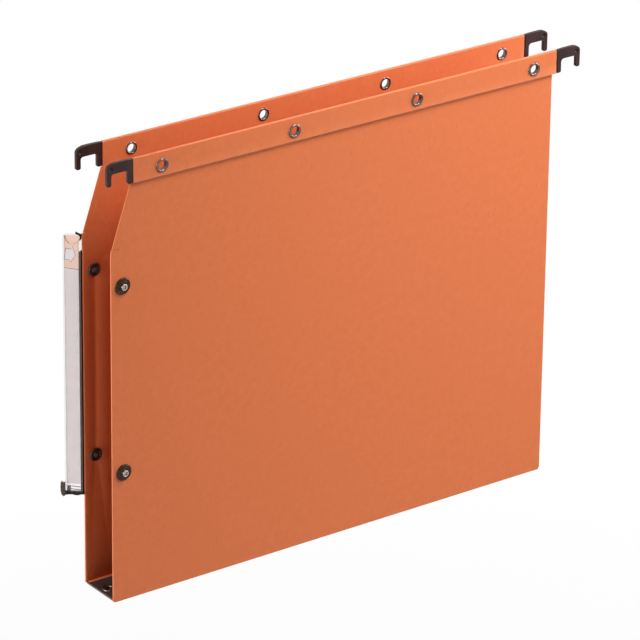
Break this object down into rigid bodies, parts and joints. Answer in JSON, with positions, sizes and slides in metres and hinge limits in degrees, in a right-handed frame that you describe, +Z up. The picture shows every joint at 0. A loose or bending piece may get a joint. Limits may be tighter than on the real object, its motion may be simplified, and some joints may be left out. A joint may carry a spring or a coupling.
{
  "type": "hanging file folder",
  "caption": "Hanging file folder for a lateral cabinet: two card sides on hooked steel bars, a flat gusset, hem eyelets, press studs and a slanted label sleeve.",
  "frame": {"origin": "midway between the four hook slots, level with their roofs, where the two rails carry the folder", "axes": "+X from the labelled front edge to the rear edge, +Y from the near side to the far side, +Z up"},
  "size_m": [0.3565, 0.0431, 0.2844],
  "materials": {
    "kraft_card": "matt fibrous orange kraft card",
    "hook_plastic": "satin black moulded plastic",
    "bar_steel": "bright rolled strip",
    "eyelet_nickel": "nickel plate",
    "stud_metal": "dark bronze plate",
    "spring_steel": "bright spring wire",
    "stiffener_board": "dark brown pressed board",
    "holder_plastic": "satin black extruded plastic",
    "window_plastic": "clear glossy plastic sleeve",
    "label_paper": "matt white paper with a peach head"
  },
  "bodies": {
    "far_side": {"far_panel_card": "kraft_card", "far_edge_strip": "kraft_card", "far_suspension_bar": "bar_steel", "far_front_hook": "hook_plastic", "far_rear_hook": "hook_plastic", "far_eyelet_1": "eyelet_nickel", "far_eyelet_2": "eyelet_nickel", "far_eyelet_3": "eyelet_nickel", "far_eyelet_4": "eyelet_nickel", "far_post_lower": "stud_metal", "far_socket_lower": "stud_metal", "far_socket_spring_lower": "spring_steel", "far_post_upper": "stud_metal", "far_socket_upper": "stud_metal", "far_socket_spring_upper": "spring_steel", "label_base": "holder_plastic", "label_window": "window_plastic"},
    "base": {"gusset_card": "kraft_card", "bottom_stiffener": "stiffener_board", "base_rivet_front": "stud_metal", "base_rivet_rear": "stud_metal"},
    "near_side": {"near_panel_card": "kraft_card", "near_edge_strip": "kraft_card", "near_suspension_bar": "bar_steel", "near_front_hook": "hook_plastic", "near_rear_hook": "hook_plastic", "near_eyelet_1": "eyelet_nickel", "near_eyelet_2": "eyelet_nickel", "near_eyelet_3": "eyelet_nickel", "near_eyelet_4": "eyelet_nickel", "near_post_lower": "stud_metal", "near_stud_lower": "stud_metal", "near_post_upper": "stud_metal", "near_stud_upper": "stud_metal"},
    "index_label": {"index_label": "label_paper"}
  },
  "joints": [
    {"name": "far_crease", "type": "hinge", "parent": "far_side", "child": "base", "pos_m": [0, 0.01525, -0.27695], "axis": [1, 0, 0], "range_deg": [-2.7, 90]},
    {"name": "near_crease", "type": "hinge", "parent": "base", "child": "near_side", "pos_m": [0, -0.01525, -0.27695], "axis": [1, 0, 0], "range_deg": [-2.7, 90]},
    {"name": "label_slide", "type": "slide", "parent": "far_side", "child": "index_label", "axis": [0, 0, 1], "range_m": [0, 0.04]}
  ]
}
